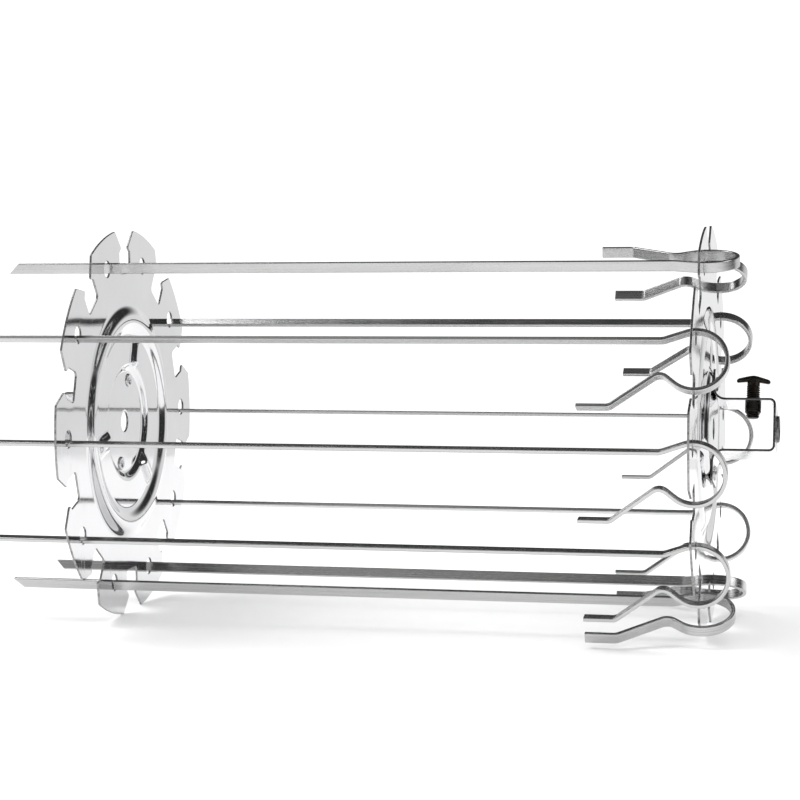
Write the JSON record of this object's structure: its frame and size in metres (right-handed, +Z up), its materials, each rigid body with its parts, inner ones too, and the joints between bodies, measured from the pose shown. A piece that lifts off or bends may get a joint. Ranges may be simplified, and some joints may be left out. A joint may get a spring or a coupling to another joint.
{
  "type": "rotisserie skewer cage",
  "caption": "Two stamped steel wheels with strap clamps for a spit, joined by flat skewers that hook on with spring clips.",
  "frame": {"origin": "on the spit's axis, at the outer face of the right wheel's hub, where the strap bracket is riveted", "axes": "+X along the spit from the left wheel to the right one and out through its bracket, +Y to the back, +Z up; each wheel stands on two lobes, and its hub leans 18 degrees back from the top"},
  "size_m": [0.3502, 0.18, 0.1784],
  "materials": {
    "wheel_steel": "mirror-polished stainless sheet",
    "strap_steel": "polished stainless strap",
    "rivet_steel": "plain steel rivet",
    "dark_steel": "blackened steel, satin",
    "skewer_steel": "rolled flat stainless wire, lightly brushed"
  },
  "bodies": {
    "right_wheel": {"plate_right": "wheel_steel", "bracket_right": "strap_steel", "rivets_right": "rivet_steel", "clamp_nut_right": "dark_steel"},
    "left_wheel": {"plate_left": "wheel_steel", "bracket_left": "strap_steel", "rivets_left": "rivet_steel", "clamp_nut_left": "dark_steel"},
    "clamp_stud_right": {"clamp_stud_right": "dark_steel"},
    "clamp_wing_right": {"clamp_wing_right": "dark_steel"},
    "clamp_stud_left": {"clamp_stud_left": "dark_steel"},
    "clamp_wing_left": {"clamp_wing_left": "dark_steel"},
    "skewer_01": {"skewer_01": "skewer_steel"},
    "skewer_02": {"skewer_02": "skewer_steel"},
    "skewer_03": {"skewer_03": "skewer_steel"},
    "skewer_04": {"skewer_04": "skewer_steel"},
    "skewer_05": {"skewer_05": "skewer_steel"},
    "skewer_06": {"skewer_06": "skewer_steel"},
    "skewer_07": {"skewer_07": "skewer_steel"},
    "skewer_08": {"skewer_08": "skewer_steel"},
    "skewer_09": {"skewer_09": "skewer_steel"},
    "skewer_10": {"skewer_10": "skewer_steel"}
  },
  "joints": [
    {"name": "left_wheel_slide", "type": "slide", "parent": "right_wheel", "child": "left_wheel", "axis": [1, 0, 0], "range_m": [-0.03, 0.19]},
    {"name": "right_stud_lift", "type": "slide", "parent": "right_wheel", "child": "clamp_stud_right", "axis": [0, 0.309, 0.9511], "range_m": [-0.00075, 0.003]},
    {"name": "right_wing_turn", "type": "hinge", "parent": "clamp_stud_right", "child": "clamp_wing_right", "pos_m": [0.017, 0, 0], "axis": [0, 0.309, 0.9511], "range_deg": [-275, 1085]},
    {"name": "left_stud_lift", "type": "slide", "parent": "left_wheel", "child": "clamp_stud_left", "axis": [0, 0.309, 0.9511], "range_m": [-0.00075, 0.003]},
    {"name": "left_wing_turn", "type": "hinge", "parent": "clamp_stud_left", "child": "clamp_wing_left", "pos_m": [-0.293, 0, 0], "axis": [0, 0.309, 0.9511], "range_deg": [-275, 1085]},
    {"name": "skewer_01_swing", "type": "hinge", "parent": "right_wheel", "child": "skewer_01", "pos_m": [0, 0.02349, 0.07228], "axis": [1, 0, 0], "range_deg": [0, 90]},
    {"name": "skewer_02_swing", "type": "hinge", "parent": "right_wheel", "child": "skewer_02", "pos_m": [0, -0.02349, 0.07228], "axis": [1, 0, 0], "range_deg": [0, 90]},
    {"name": "skewer_03_swing", "type": "hinge", "parent": "right_wheel", "child": "skewer_03", "pos_m": [0, -0.06149, 0.04467], "axis": [-1, 0, 0], "range_deg": [0, 90]},
    {"name": "skewer_04_swing", "type": "hinge", "parent": "right_wheel", "child": "skewer_04", "pos_m": [0, -0.076, 0], "axis": [-1, 0, 0], "range_deg": [0, 90]},
    {"name": "skewer_05_swing", "type": "hinge", "parent": "right_wheel", "child": "skewer_05", "pos_m": [0, -0.06149, -0.04467], "axis": [-1, 0, 0], "range_deg": [-25, 60]},
    {"name": "skewer_06_swing", "type": "hinge", "parent": "right_wheel", "child": "skewer_06", "pos_m": [0, -0.02349, -0.07228], "axis": [1, 0, 0], "range_deg": [0, 45]},
    {"name": "skewer_07_swing", "type": "hinge", "parent": "right_wheel", "child": "skewer_07", "pos_m": [0, 0.02349, -0.07228], "axis": [-1, 0, 0], "range_deg": [-10, 40]},
    {"name": "skewer_08_swing", "type": "hinge", "parent": "right_wheel", "child": "skewer_08", "pos_m": [0, 0.06149, -0.04467], "axis": [1, 0, 0], "range_deg": [-14, 76]},
    {"name": "skewer_09_swing", "type": "hinge", "parent": "right_wheel", "child": "skewer_09", "pos_m": [0, 0.076, 0], "axis": [1, 0, 0], "range_deg": [0, 90]},
    {"name": "skewer_10_swing", "type": "hinge", "parent": "right_wheel", "child": "skewer_10", "pos_m": [0, 0.06149, 0.04467], "axis": [1, 0, 0], "range_deg": [0, 90]}
  ],
  "couplings": [
    {"joint": "right_wing_turn", "follows": "right_stud_lift", "rad_per_m": 6283.2},
    {"joint": "left_wing_turn", "follows": "left_stud_lift", "rad_per_m": 6283.2}
  ]
}
